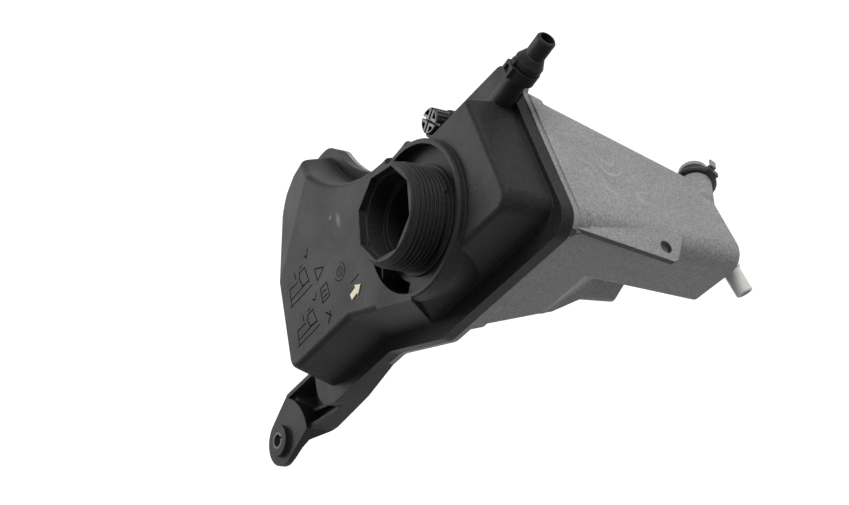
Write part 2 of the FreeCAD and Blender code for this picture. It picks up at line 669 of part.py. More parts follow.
def upper_shell():
    solid = fused([rounded_cover(), bend_web(), basin_ring(), flange_upper_plate])
    solid = solid.cut(cylinder(BASIN_RING_R - BASIN_RING_WALL, BASIN_FLOOR, 1))
    cavity = cover_inside()
    cavity = cavity.cut(cylinder(BASIN_RING_R + 0.5, BASIN_FLOOR - WALL, 1))
    pocket_low = BASIN_FLOOR - DRAIN_POCKET_DEPTH
    cavity = cavity.cut(basin_sector(DRAIN_POCKET_R - 2.5, BASIN_RING_R + 1, DRAIN_POCKETS[0][0] - 5,
                                     DRAIN_POCKETS[-1][1] + 5, pocket_low - 2.5, 0))
    solid = solid.cut(cavity)
    basin_r = BASIN_RING_R - BASIN_RING_WALL
    for start, stop in DRAIN_POCKETS:
        solid = solid.cut(basin_sector(DRAIN_POCKET_R, basin_r, start, stop, pocket_low, 1))
    solid = solid.multiFuse([ear_arm()] + vent_spigot() + bleed_boss())
    solid = solid.fuse(neck_outside().fuse(neck_thread())).fuse(neck_rib())
    solid = solid.cut(cylinder(NECK_LEDGE_R, NECK_FOOT_Z - 1, 1))
    solid = solid.cut(cylinder(NECK_BORE_R, NECK_LEDGE_Z, 1))
    solid = solid.cut(mouth_octagon())
    solid = solid.cut(cylinder(SLEEVE_BORE_R + SLEEVE_WALL, -80, 0, ear_x, ear_y))
    solid = solid.cut(vent_passage()).cut(bleed_passage())
    outline = inset(flange_points, [-SHELL_GAP] * len(flange_points))
    clear = rounded_prism(outline, flange_radii, -90, weld_z)
    return solid.cut(clear.cut(skirt_strip(0.0)))


def ear_sleeve():
    """Rolled from strip, with the joint left open."""
    outer = SLEEVE_BORE_R + SLEEVE_WALL - SLEEVE_FIT
    tube = cylinder(outer, ear_boss_low, EAR_BOSS_TOP, ear_x, ear_y)
    tube = tube.cut(cylinder(SLEEVE_BORE_R, ear_boss_low - 1, 0, ear_x, ear_y))
    slit = Part.makeBox(SLEEVE_BORE_R * 3, SLEEVE_SLIT, 40, Vec(ear_x + 1, ear_y - SLEEVE_SLIT / 2, -80))
    return tube.cut(slit)


bleed_seal_mid = BLEED_SHANK_R + BLEED_SEAL_WIRE + BLEED_SEAL_FIT
bleed_head_low = BLEED_SEAT_Z + 2 * BLEED_SEAL_WIRE + 2 * BLEED_SEAL_FIT


def bleed_bar(half, height, low, angle):
    """A bar across the screw's head, turned to one arm of the cross."""
    bar = Part.makeBox(4 * BLEED_HEAD_R, 2 * half, height, Vec(-2 * BLEED_HEAD_R, -half, low))
    bar.rotate(Vec(0, 0, 0), Vec(0, 0, 1), angle + BLEED_TURN)
    bar.translate(Vec(BLEED_X, BLEED_Y, 0))
    return bar


def bleed_screw():
    """A pocketed head with a cross of walls, a ribbed rim and a plain shank with a side vent."""
    top = bleed_head_low + BLEED_HEAD
    solid = turned((0, 0, 1), (BLEED_X, BLEED_Y, 0), [
        (BLEED_SEAT_Z - BLEED_SHANK, BLEED_SHANK_R - 1.0),
        (BLEED_SEAT_Z - BLEED_SHANK + 1.0, BLEED_SHANK_R),
        (bleed_head_low, BLEED_SHANK_R),
        (bleed_head_low, BLEED_HEAD_R - 0.6),
        (bleed_head_low + 0.6, BLEED_HEAD_R),
        (top - 0.6, BLEED_HEAD_R),
        (top, BLEED_HEAD_R - 0.6),
    ])
    pocket_low = top - BLEED_POCKET
    cavity = cylinder(BLEED_HEAD_R - BLEED_RIM_WALL, pocket_low, top + 1, BLEED_X, BLEED_Y)
    bar_half = BLEED_CROSS_WALL + BLEED_CROSS_SLOT / 2
    for angle in (0, 90):
        cavity = cavity.cut(bleed_bar(bar_half, 20, pocket_low - 1, angle))
    solid = solid.cut(cavity)
    for angle in (0, 90):
        solid = solid.cut(bleed_bar(BLEED_CROSS_SLOT / 2, BLEED_POCKET, pocket_low + 0.8, angle))
    flute = cylinder(BLEED_FLUTE_R, bleed_head_low - 1, top - 1.2)
    for i in range(BLEED_FLUTES):
        angle = 2 * math.pi * (i + 0.5) / BLEED_FLUTES + math.radians(BLEED_TURN)
        x = BLEED_X + (BLEED_HEAD_R + 0.25) * math.cos(angle)
        y = BLEED_Y + (BLEED_HEAD_R + 0.25) * math.sin(angle)
        solid = solid.cut(flute.translated(Vec(x, y, 0)))
    return solid


def ring_seal(mid_r, wire_r, x, y, z):
    return Part.makeTorus(mid_r, wire_r, Vec(x, y, z))


# Lower shell
def along_normal(angle, down):
    a, d = math.radians(angle), math.radians(down)
    return (math.cos(a) * math.cos(d), math.sin(a) * math.cos(d), -math.sin(d))


def leg_left(z):
    return LEG_LEFT_AT_TOP - (LEG_LEFT_TOP_Z - z) * LEG_LEFT_LEAN


bottom_normal = Vec(FLOOR_FALL_X, FLOOR_FALL_Y, -1.0)
bottom_normal.normalize()
profile_low = FLOOR_CORNER[2] - 5.0
lobe_left = (4.1, LOBE_LOW)
lobe_right = (22.0, LOBE_LOW)
lobe_step = LOBE_LOW - 6.7
body_profile = [
    (leg_left(profile_low), profile_low),
    (95.0, profile_low),
    (95.0, weld_z),
    (-28.9, weld_z),
    (-5.5, -92.3),
    (-3.0, -100.0),
    (1.6, -106.0),
    lobe_left,
    lobe_right,
    (leg_left(lobe_step), lobe_step),
]


def body_shape(grow):
    """The deep part of the lower shell, with every wall set in by grow."""
    amounts = [grow] * len(body_profile)
    if grow > 0:
        amounts[2] = -0.5
    solid = side_prism(inset(body_profile, amounts), -80, 80)
    front = (0, LEG_FRONT + grow, flange_bottom)
    solid = solid.cut(beyond(front, along_normal(-90, LEG_DRAFT)))
    right = along_normal(LEG_RIGHT_LEAN, LEG_RIGHT_DRAFT)
    reach = LEG_RIGHT - grow
    solid = solid.cut(beyond((right[0] * reach, right[1] * reach, flange_bottom), right))
    solid = solid.cut(beyond((0, LEG_REAR - grow / math.cos(math.radians(LEG_REAR_SLOPE)), LEG_REAR_Z),
                             along_normal(90, LEG_REAR_SLOPE)))
    return solid.cut(beyond(Vec(*FLOOR_CORNER) - bottom_normal * grow, bottom_normal))


valley_face = Vec(LOBE_Y - VALLEY_Y, VALLEY_X - LOBE_X, 0)
valley_face.normalize()
valley_ramp = Vec(0, VALLEY_FALL, 1)
valley_ramp.normalize()


def valley(grow):
    """The hollow in front of the leg's left side: a ramp down to the lobe's slanted face."""
    hollow = Part.makeBox(far, far, far, Vec(-far / 2, VALLEY_Y - far, -far))
    corner = Vec(LOBE_X, LOBE_Y, 0) + valley_face * grow
    hollow = hollow.cut(beyond(corner, valley_face))
    top = Vec(0, LEG_FRONT, VALLEY_TOP) + valley_ramp * grow
    hollow = hollow.cut(beyond(top, valley_ramp))
    slope = Vec(1, 0, -LEG_LEFT_LEAN)
    slope.normalize()
    return hollow.cut(beyond((leg_left(VALLEY_TOP) + grow, 0, VALLEY_TOP), (slope.x, 0, slope.z)))


def deep_body(grow):
    return body_shape(grow).cut(valley(grow))


def front_y(z):
    return LEG_FRONT + (flange_bottom - z) * math.tan(math.radians(LEG_DRAFT))


def right_x(y, z):
    reach = LEG_RIGHT - (flange_bottom - z) * math.tan(math.radians(LEG_RIGHT_DRAFT))
    a = math.radians(LEG_RIGHT_LEAN)
    return (reach - y * math.sin(a)) / math.cos(a)


def bottom_z(x, y):
    return FLOOR_CORNER[2] + (x - FLOOR_CORNER[0]) * FLOOR_FALL_X + (y - FLOOR_CORNER[1]) * FLOOR_FALL_Y


def rounded_body(grow):
    solid = deep_body(grow)
    low = profile_low + 10.0
    front = front_y(low)
    rear_foot = leg_foot(right_x(LEG_REAR, low))
    corner = (right_x(front, low) - grow, front + grow)
    solid = solid.makeFillet(LEG_CORNER_R - grow, upright_edges(solid, [corner]))
    if grow > 0:
        return solid
    solid = solid.makeFillet(6.0, upright_edges(solid, [(right_x(rear_foot.y, low), rear_foot.y)]))
    if grow < 0:
        return solid
    left = leg_left(low)
    solid = solid.makeFillet(3.0, upright_edges(solid, [(left, front), (left + 2.5, front - 1)], 4.0))
    solid = solid.makeFillet(5.0, upright_edges(solid, [(lobe_left[0], LOBE_Y)], 2.0))
    solid = solid.makeFillet(5.0, upright_edges(solid, [(left, rear_foot.y)], 4.0))
    solid = solid.makeFillet(LEG_FLOOR_R, [e for e in solid.Edges if on_bottom(e)])
    return solid.makeFillet(VALLEY_R, [e for e in solid.Edges if on_ramp(e)])


def on_ramp(edge):
    """Where the ramp turns down into the lobe's slanted face."""
    ends = [v.Point - Vec(0, LEG_FRONT, VALLEY_TOP) for v in edge.Vertexes]
    face = [v.Point - Vec(LOBE_X, LOBE_Y, 0) for v in edge.Vertexes]
    flat = [Vec(v.x, v.y, 0) for v in face]
    in_ramp = all(abs(v.dot(valley_ramp)) < 0.1 for v in ends)
    return in_ramp and all(abs(v.dot(valley_face)) < 0.1 for v in flat)


def leg_foot(x):
    """Where the leg's rear wall meets its floor."""
    rise = math.tan(math.radians(LEG_REAR_SLOPE))
    y = (LEG_REAR + (bottom_z(x, 0) - LEG_REAR_Z) * rise) / (1 - FLOOR_FALL_Y * rise)
    return Vec(x, y, bottom_z(x, y))


def on_bottom(edge):
    ends = [v.Point for v in edge.Vertexes]
    return all(abs(v.z - bottom_z(v.x, v.y)) < 0.1 for v in ends)


well_seat = bottom_z(SENSOR_X, SENSOR_Y) - WELL_PROUD
pan_drafts = [1.0, 1.0, 0.3, 0.3, 0.3, 0.0, 0.0, 1.0, 1.0, 1.0, 1.0]
pan_rims = [PAN_SET_IN] * 2 + [16.0, 24.0, 26.0, 26.0, 10.0] + [PAN_SET_IN] * 4


def pan(grow):
    """The shallow part below the flange, with walls at about 45 degrees."""
    floor = flange_bottom - PAN_DEPTH + grow
    points = inset(cover_core, pan_rims)
    solid = tapered(points, pan_drafts, flange_bottom, floor, grow)
    radius = NOTCH_R + PAN_SET_IN + grow
    drop = flange_bottom - floor
    cone = Part.makeCone(radius + drop + 1, radius, drop + 1, Vec(NOTCH_X, notch_y, floor - 1))
    solid = solid.cut(cone)
    if grow:
        top = upright_prism(inset(points, [grow] * len(points)), flange_bottom, weld_z + 0.5)
        solid = solid.fuse(top.cut(cylinder(radius, flange_bottom - 1, weld_z + 1, NOTCH_X, notch_y)))
    return solid


def fin():
    """The bracket plate on the leg's front right corner, with its screw hole."""
    outline = [(-30.0, flange_bottom), (-43.0, flange_bottom), (-52.3, -121.0), (-50.8, -124.3),
               (-34.8, -132.5), (-30.0, -132.5)]
    back = FIN_X - FIN_PLATE
    hole = [(back - 1, FIN_HOLE_R), (FIN_X + 1, FIN_HOLE_R)]
    return end_prism(outline, back, FIN_X).cut(turned((1, 0, 0), (0, FIN_HOLE_Y, FIN_HOLE_Z), hole))


outlet_tilt = math.radians(OUTLET_TILT)
outlet_turn = math.radians(LEG_RIGHT_LEAN)
outlet_right = Vec(math.cos(outlet_turn), math.sin(outlet_turn), 0)
outlet_axis = Vec(
    -math.sin(outlet_turn) * math.cos(outlet_tilt),
    math.cos(outlet_turn) * math.cos(outlet_tilt),
    -math.sin(outlet_tilt))
outlet_rotation = FreeCAD.Rotation(outlet_axis, -outlet_right, Vec(), "XYZ")
outlet_frame = FreeCAD.Placement(leg_foot(OUTLET_X), outlet_rotation)


def at_outlet(shape):
    """Sets a shape drawn along X on the spigot's axis."""
    shape.Placement = outlet_frame.multiply(shape.Placement)
    return shape


def outlet_turned(profile):
    return at_outlet(turned((1, 0, 0), (0, 0, 0), profile))


def outlet_outside():
    """A tube that grows out of the leg's floor, with the ring's seat and the grooved head."""
    collar_end = OUTLET_SEAT + OUTLET_RING + OUTLET_SPRING + 0.1
    groove_end = OUTLET_SEAL + 2 * OUTLET_SEAL_WIRE + 0.3
    return outlet_turned([
        (-OUTLET_ROOT, OUTLET_R * 0.5),
        (-OUTLET_ROOT + OUTLET_ROOT_CONE, OUTLET_R),
        (OUTLET_SEAT, OUTLET_R),
        (OUTLET_SEAT, OUTLET_COLLAR_R),
        (collar_end, OUTLET_COLLAR_R),
        (collar_end, OUTLET_HEAD_R),
        (OUTLET_SEAL, OUTLET_HEAD_R),
        (OUTLET_SEAL, OUTLET_GROOVE_R),
        (groove_end, OUTLET_GROOVE_R),
        (groove_end, OUTLET_HEAD_R),
        (OUTLET_END - 0.8, OUTLET_HEAD_R),
        (OUTLET_END, OUTLET_HEAD_R - 0.8),
    ])


def lower_shell():
    band = rounded_body(-RIM_PROUD).cut(beyond((0, 0, flange_bottom - RIM_DEPTH), (0, 0, -1)))
    band = band.cut(beyond((0, 0, flange_bottom), (0, 0, 1)))
    solid = flange_lower_plate.multiFuse([rounded_body(0.0), band, pan(0.0), fin()])
    solid = solid.cut(skirt_strip(SHELL_GAP))
    boss = cylinder(WELL_R + 3.5, well_seat, bottom_z(SENSOR_X, SENSOR_Y) + WALL, SENSOR_X, SENSOR_Y)
    solid = solid.multiFuse([outlet_outside(), boss])
    solid = solid.cut(beyond((0, 0, weld_z), (0, 0, 1)))
    solid = solid.cut(rounded_body(WALL)).cut(pan(WALL))
    well = cylinder(WELL_R, well_seat + 1, WELL_TOP, SENSOR_X, SENSOR_Y)
    collar = cylinder(WELL_R + 2.2, well_seat + 1, FLOAT_REST - FLOAT_SEAT_GAP, SENSOR_X, SENSOR_Y)
    solid = solid.multiFuse([well, collar])
    solid = solid.cut(cylinder(WELL_BORE_R, well_seat - 1, WELL_TOP - 2.0, SENSOR_X, SENSOR_Y))
    pocket_top = well_seat + SENSOR_SEAL_WIRE * 2 + 0.2
    solid = solid.cut(cylinder(seal_pocket_r, well_seat - 1, pocket_top, SENSOR_X, SENSOR_Y))
    return solid.cut(outlet_turned([(-OUTLET_BORE_START, OUTLET_BORE_R), (OUTLET_END + 1, OUTLET_BORE_R)]))


outlet_clip_r = OUTLET_COLLAR_R + OUTLET_RING_FIT


def outlet_lock_ring():
    """The ring that the hose's connector is pushed against, with its release block."""
    end = OUTLET_SEAT + OUTLET_RING
    ring = turned((1, 0, 0), (0, 0, 0), [
        (OUTLET_SEAT, OUTLET_RING_R - 0.8),
        (OUTLET_SEAT + 0.8, OUTLET_RING_R),
        (end - 0.8, OUTLET_RING_R),
        (end, OUTLET_RING_R - 0.8),
    ])
    block = Part.makeBox(OUTLET_RING, OUTLET_RING_R + 1.2 - outlet_clip_r, 8.0,
                         Vec(OUTLET_SEAT, -OUTLET_RING_R - 1.2, -4.0))
    block.rotate(Vec(0, 0, 0), Vec(1, 0, 0), OUTLET_TAB_ANGLE + 5.0)
    hole = turned((1, 0, 0), (0, 0, 0), [(OUTLET_SEAT - 1, outlet_clip_r), (end + 1, outlet_clip_r)])
    return at_outlet(ring.fuse(block).cut(hole))


def outlet_lock_spring():
    """A flat spring band behind the ring, open at one side, with its thumb tab."""
    start = OUTLET_SEAT + OUTLET_RING
    band_r = outlet_clip_r + OUTLET_SPRING_BAND
    band = turned((1, 0, 0), (0, 0, 0), [(start, band_r), (start + OUTLET_SPRING, band_r)])
    tab = Part.makeBox(OUTLET_SPRING, OUTLET_TAB_R - outlet_clip_r, 4.0, Vec(start, -OUTLET_TAB_R, -2.0))
    tab = tab.fuse(Part.makeBox(5.0, OUTLET_SPRING, 4.0, Vec(start, -OUTLET_TAB_R, -2.0)))
    gap = Part.makeBox(5, 30, 8, Vec(start - 1, 0, -4))
    hole = turned((1, 0, 0), (0, 0, 0), [(start - 1, outlet_clip_r), (start + 2, outlet_clip_r)])
    spring = band.fuse(tab).cut(hole).cut(gap)
    spring.rotate(Vec(0, 0, 0), Vec(1, 0, 0), OUTLET_TAB_ANGLE)
    return at_outlet(spring)


def outlet_seal():
    middle = OUTLET_SEAL + OUTLET_SEAL_WIRE + 0.15
    radius = OUTLET_GROOVE_R + OUTLET_SEAL_WIRE
    return at_outlet(Part.makeTorus(radius, OUTLET_SEAL_WIRE, Vec(middle, 0, 0), Vec(1, 0, 0)))


# Level sensor, its float and what they hold
seal_pocket_r = ROD_R + 2 * SENSOR_SEAL_WIRE + 0.2
stub_direction = Vec(0, -0.93, -0.367)
stub_root = Vec(SENSOR_X, SENSOR_Y, well_seat - SENSOR_HEAD * 0.4)
rod_top = WELL_TOP - 4.0
board_low = well_seat - SENSOR_HEAD * 0.5


def along_stub(profile):
    return turned(stub_direction, stub_root, profile)


def level_sensor():
    head = cylinder(SENSOR_HEAD_R, well_seat - SENSOR_HEAD, well_seat, SENSOR_X, SENSOR_Y)
    rod = cylinder(ROD_R, well_seat - 1, rod_top, SENSOR_X, SENSOR_Y)
    stub = along_stub([
        (0, STUB_ROOT_R),
        (STUB_STEP, STUB_ROOT_R),
        (STUB_STEP, STUB_R),
        (STUB_LENGTH - 0.6, STUB_R),
        (STUB_LENGTH, STUB_R - 0.6),
    ])
    solid = head.fuse(rod).fuse(stub)
    solid = solid.cut(beyond((0, 0, well_seat), (0, 0, 1)).common(stub))
    solid = solid.cut(cylinder(ROD_R - 1.0, board_low, rod_top - 1.5, SENSOR_X, SENSOR_Y))
    socket = [(STUB_LENGTH - STUB_SOCKET, STUB_R - 1.2), (STUB_LENGTH + 1, STUB_R - 1.2)]
    solid = solid.cut(along_stub(socket))
    for side in (-1, 1):
        solid = solid.cut(pin_shape(side, 0.03))
    return solid


def pin_shape(side, grow):
    half = PIN_SIZE / 2 + grow
    start, length = STUB_LENGTH - STUB_SOCKET - PIN_ROOT, PIN_ROOT + STUB_SOCKET - 2.0
    pin = Part.makeBox(length, 2 * half, 2 * half, Vec(start, side * PIN_PITCH / 2 - half, -half))
    rotation = FreeCAD.Rotation(Vec(1, 0, 0), stub_direction)
    pin.Placement = FreeCAD.Placement(stub_root, rotation)
    return pin


def sensor_board():
    corner = Vec(SENSOR_X - BOARD, SENSOR_Y - BOARD_HALF, board_low)
    return Part.makeBox(BOARD, 2 * BOARD_HALF, rod_top - 4.0 - board_low, corner)


def sensor_reed():
    """A glass tube with domed ends, lying on the board."""
    z0 = FLOAT_REST + 2.0
    z1 = z0 + REED_LENGTH
    x = SENSOR_X + REED_R
    tube = cylinder(REED_R, z0 + REED_R, z1 - REED_R, x, SENSOR_Y)
    tube = tube.fuse(Part.makeSphere(REED_R, Vec(x, SENSOR_Y, z0 + REED_R)))
    return tube.fuse(Part.makeSphere(REED_R, Vec(x, SENSOR_Y, z1 - REED_R)))


def level_float():
    bore = WELL_R + FLOAT_GAP
    high = FLOAT_REST + FLOAT_HEIGHT
    solid = cylinder(FLOAT_R, FLOAT_REST, high, SENSOR_X, SENSOR_Y)
    solid = solid.makeFillet(1.5, [e for e in solid.Edges if len(e.Vertexes) == 1])
    solid = solid.cut(cylinder(bore, FLOAT_REST - 1, high + 1, SENSOR_X, SENSOR_Y))
    pocket = cylinder(MAGNET_R + MAGNET_FIT, FLOAT_REST - 1, FLOAT_REST + MAGNET, SENSOR_X, SENSOR_Y)
    pocket = pocket.cut(cylinder(magnet_bore - MAGNET_FIT, FLOAT_REST - 2, high, SENSOR_X, SENSOR_Y))
    return solid.cut(pocket)


magnet_bore = WELL_R + FLOAT_GAP + 1.1


def float_magnet():
    ring = cylinder(MAGNET_R, FLOAT_REST + 0.3, FLOAT_REST + MAGNET, SENSOR_X, SENSOR_Y)
    return ring.cut(cylinder(magnet_bore, FLOAT_REST, FLOAT_REST + MAGNET + 1, SENSOR_X, SENSOR_Y))


def float_stop():
    low = FLOAT_REST + FLOAT_HEIGHT + FLOAT_TRAVEL
    cap = cylinder(WELL_R + 3.0, low, WELL_TOP + 2.0, SENSOR_X, SENSOR_Y)
    top_rim = [e for e in cap.Edges if e.BoundBox.ZMin > WELL_TOP + 1.9 and len(e.Vertexes) == 1]
    cap = cap.makeFillet(1.2, top_rim)
    return cap.cut(cylinder(WELL_R + STOP_FIT, low - 1, WELL_TOP, SENSOR_X, SENSOR_Y))


pieces = {
    "upper_shell": upper_shell(),
    "lower_shell": lower_shell(),
    "ear_sleeve": ear_sleeve(),
    "bleed_screw": bleed_screw(),
    "bleed_screw_seal": ring_seal(bleed_seal_mid, BLEED_SEAL_WIRE, BLEED_X, BLEED_Y,
                                  BLEED_SEAT_Z + BLEED_SEAL_WIRE + BLEED_SEAL_FIT),
    "outlet_lock_ring": outlet_lock_ring(),
    "outlet_lock_spring": outlet_lock_spring(),
    "outlet_seal": outlet_seal(),
    "level_sensor": level_sensor(),
    "sensor_seal": ring_seal(ROD_R + SENSOR_SEAL_WIRE + 0.1, SENSOR_SEAL_WIRE, SENSOR_X, SENSOR_Y,
                             well_seat + SENSOR_SEAL_WIRE),
    "sensor_pin_a": pin_shape(-1, 0.0),
    "sensor_pin_b": pin_shape(1, 0.0),
    "sensor_board": sensor_board(),
    "sensor_reed": sensor_reed(),
    "level_float": level_float(),
    "float_magnet": float_magnet(),
    "float_stop": float_stop(),
}
to_ear = Vec(-ear_x, -ear_y, -EAR_BOSS_TOP)
for name, shape in pieces.items():
    shape.translate(to_ear)
    print(name, shape.isValid(), len(shape.Solids), round(shape.Volume), len(shape.Faces))
    shape.exportStep("parts/" + name + ".step")
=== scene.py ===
# %% [markdown]
# # Coolant expansion tank: looks
# The solids arrive with their real sizes in metres. This script gives each of them a surface,
# adds the fine marks that sit on the moulding, and sets up the camera, the floor and the lights.

# %% Load the solid model as a fixed frame
import bmesh
import bpy
import json
import math
from mathutils import Matrix, Vector


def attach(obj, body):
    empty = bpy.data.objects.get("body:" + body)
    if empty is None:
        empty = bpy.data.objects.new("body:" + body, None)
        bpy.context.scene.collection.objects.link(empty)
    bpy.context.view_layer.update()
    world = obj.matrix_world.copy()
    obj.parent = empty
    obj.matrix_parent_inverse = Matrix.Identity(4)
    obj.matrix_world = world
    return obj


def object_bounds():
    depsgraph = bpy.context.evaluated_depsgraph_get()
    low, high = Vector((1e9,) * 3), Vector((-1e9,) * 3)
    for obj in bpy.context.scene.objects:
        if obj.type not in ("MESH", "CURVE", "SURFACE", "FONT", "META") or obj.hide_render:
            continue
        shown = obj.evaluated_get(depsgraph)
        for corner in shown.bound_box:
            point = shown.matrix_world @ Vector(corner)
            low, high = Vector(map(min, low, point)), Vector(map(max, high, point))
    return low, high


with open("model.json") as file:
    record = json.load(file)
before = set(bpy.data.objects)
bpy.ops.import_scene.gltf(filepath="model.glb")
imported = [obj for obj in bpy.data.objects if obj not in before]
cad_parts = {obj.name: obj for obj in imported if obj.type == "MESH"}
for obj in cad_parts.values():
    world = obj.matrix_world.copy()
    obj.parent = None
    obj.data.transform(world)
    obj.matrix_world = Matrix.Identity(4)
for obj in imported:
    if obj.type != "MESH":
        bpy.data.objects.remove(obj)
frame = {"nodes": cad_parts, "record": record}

cad_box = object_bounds()
MM = 0.001

# %% [markdown]
# ## Where things are
# The tank's own reference point is the ear's bore. Most features are easier to place from the
# filler neck's mouth, so `from_neck` turns millimetres measured there into metres in the frame.

# %% Places measured from the neck
neck = next(m for m in frame["record"]["mounts"] if m["name"] == "neck_bore")
MOUTH_ABOVE_BORE = 4.5
PLATE_Z = -17.6
mouth = Vector(neck["pos_m"]) + Vector((0, 0, MOUTH_ABOVE_BORE * MM))


def from_neck(x, y, z):
    """A point given in mm from the neck's mouth, as metres in the frame."""
    return mouth + Vector((x, y, z)) * MM


print("mouth centre (m):", [round(v, 4) for v in mouth])

# %% [markdown]
# ## Colour and shader helpers
# Colours are written as the hex values seen on screen. Blender's shaders work in linear light,
# so one function converts them all. `add_node` creates a node and sets its inputs by name: a
# number or a colour becomes the input's value, and another node's output is linked to it. With
# that, each material takes a few readable lines. The owner of a node is a material or the world.
# The Mix node has one set of sockets for each kind of value, so those for colours go by number.
# Most of a noise's values lie in its MIDDLE, and `spread` stretches that part.

# %% Helpers for colours and nodes
COLOUR_A, COLOUR_B, COLOUR_RESULT = 6, 7, 2
MIDDLE = (0.3, 0.7)


def linear(hex_colour):
    """Turns '#rrggbb' as seen on screen into the linear RGBA that shaders want."""
    seen = [int(hex_colour[i:i + 2], 16) / 255 for i in (1, 3, 5)]
    return tuple(c / 12.92 if c <= 0.04045 else ((c + 0.055) / 1.055) ** 2.4 for c in seen) + (1.0,)


def set_input(owner, socket, value):
    """Links another node's output to an input, or sets the input to a plain value."""
    if isinstance(value, bpy.types.NodeSocket):
        owner.node_tree.links.new(value, socket)
    else:
        socket.default_value = value


def add_node(owner, kind, inputs=None, **settings):
    """A new node with its settings and inputs filled in."""
    node = owner.node_tree.nodes.new(kind)
    for name, value in settings.items():
        setattr(node, name, value)
    for name, value in (inputs or {}).items():
        set_input(owner, node.inputs[name], value)
    return node


def per_mm(size):
    """The texture scale whose features are about this many millimetres across."""
    return 1.0 / (size * MM)


def new_material(name, colour, roughness, **shader):
    """A material with one Principled shader; returns it, the shader and object coordinates."""
    material = bpy.data.materials.new(name)
    material.use_nodes = True
    bsdf = material.node_tree.nodes["Principled BSDF"]
    bsdf.inputs["Base Color"].default_value = linear(colour)
    bsdf.inputs["Roughness"].default_value = roughness
    for socket, value in shader.items():
        bsdf.inputs[socket.replace("_", " ")].default_value = value
    place = add_node(material, "ShaderNodeTexCoord").outputs["Object"]
    return material, bsdf, place


def noise(material, place, size_mm, detail=3.0, roughness=0.55):
    """A soft random pattern whose features are about this wide."""
    return add_node(material, "ShaderNodeTexNoise", {
        "Vector": place, "Scale": per_mm(size_mm), "Detail": detail,
        "Roughness": roughness}).outputs["Fac"]


def remap(owner, value, span, onto):
    """A straight ramp from one range of values onto another."""
    return add_node(owner, "ShaderNodeMapRange", {
        "Value": value, "From Min": span[0], "From Max": span[1],
        "To Min": onto[0], "To Max": onto[1]}).outputs["Result"]


def spread(material, value, low, high):
    """Maps a texture's middle range onto low..high."""
    return remap(material, value, MIDDLE, (low, high))


def maths(owner, operation, first, second):
    """One calculation with two numbers."""
    return add_node(owner, "ShaderNodeMath", {0: first, 1: second}, operation=operation).outputs[0]


def vector_maths(material, operation, *vectors, output="Vector"):
    """One calculation with vectors."""
    inputs = dict(enumerate(vectors))
    return add_node(material, "ShaderNodeVectorMath", inputs, operation=operation).outputs[output]


def mix_colours(material, factor, first, second):
    """Blends two colours, each a hex value or another node's output."""
    mixer = add_node(material, "ShaderNodeMix", {"Factor": factor}, data_type="RGBA")
    for socket, colour in ((COLOUR_A, first), (COLOUR_B, second)):
        set_input(material, mixer.inputs[socket], linear(colour) if isinstance(colour, str) else colour)
    return mixer.outputs[COLOUR_RESULT]


def bump(material, height, depth_mm, normal=None):
    """Bends the shading normal by a texture read as a height."""
    inputs = {"Height": height, "Distance": depth_mm * MM, "Strength": 1.0}
    if normal is not None:
        inputs["Normal"] = normal
    return add_node(material, "ShaderNodeBump", inputs).outputs["Normal"]


def soft_edges(material, radius_mm):
    """Rounds sharp edges in the shading only, by the small radius every moulding has."""
    inputs = {"Radius": radius_mm * MM}
    return add_node(material, "ShaderNodeBevel", inputs, samples=4).outputs["Normal"]


def surface(material, bsdf, colour, normal, roughness=None):
    """Gives the shader its colour, its normal and, where it varies, its roughness."""
    set_input(material, bsdf.inputs["Base Color"], colour)
    set_input(material, bsdf.inputs["Normal"], normal)
    if roughness is not None:
        set_input(material, bsdf.inputs["Roughness"], roughness)
    return material


print("a mid grey in linear light:", round(linear("#808080")[0], 3))

# %% [markdown]
# ## The black upper moulding
# Glass-filled polyamide comes out of the mould nearly black, with a spark-eroded grain that
# spreads the highlights. Two noises do the grain, one fine and one a little coarser, and a third,
# a few centimetres wide, lets tone and gloss wander. `smudge` finds a soft oval spot on the
# solid: the space round the spot is squashed to a unit ball, and the distance from its centre
# fades the mask out. The two rub marks beside the neck use it. The edge mask finds the edges,
# convex and concave, and they get a painted highlight: a paler grey along every edge.

# %% Soft spots and black glass-filled polyamide
RUBS = [((-62.7, 38.6, PLATE_Z), (2.6, 6.0, 4.0)), ((-69.5, 44.2, PLATE_Z), (1.8, 1.6, 4.0))]
SMUDGE_FADE = (0.6, 1.5)
EDGE_COSINES = (0.99, 0.86)


def smudge(material, place, centre_mm, radii_mm, ragged):
    """1 in the middle of an oval spot, 0 outside it, with an edge broken up by a texture."""
    moved = vector_maths(material, "SUBTRACT", place, from_neck(*centre_mm))
    squashed = vector_maths(material, "MULTIPLY", moved, [per_mm(r) for r in radii_mm])
    away = vector_maths(material, "LENGTH", squashed, output="Value")
    return remap(material, maths(material, "ADD", away, ragged), SMUDGE_FADE, (1.0, 0.0))


def edge_highlight_mask(material, radius_mm, strength):
    """Where the rounded normal leaves the true one, there is an edge: 0 on flat faces."""
    rounded = soft_edges(material, radius_mm)
    plain = add_node(material, "ShaderNodeNewGeometry").outputs["Normal"]
    cosine = vector_maths(material, "DOT_PRODUCT", rounded, plain, output="Value")
    return remap(material, cosine, EDGE_COSINES, (0.0, strength))


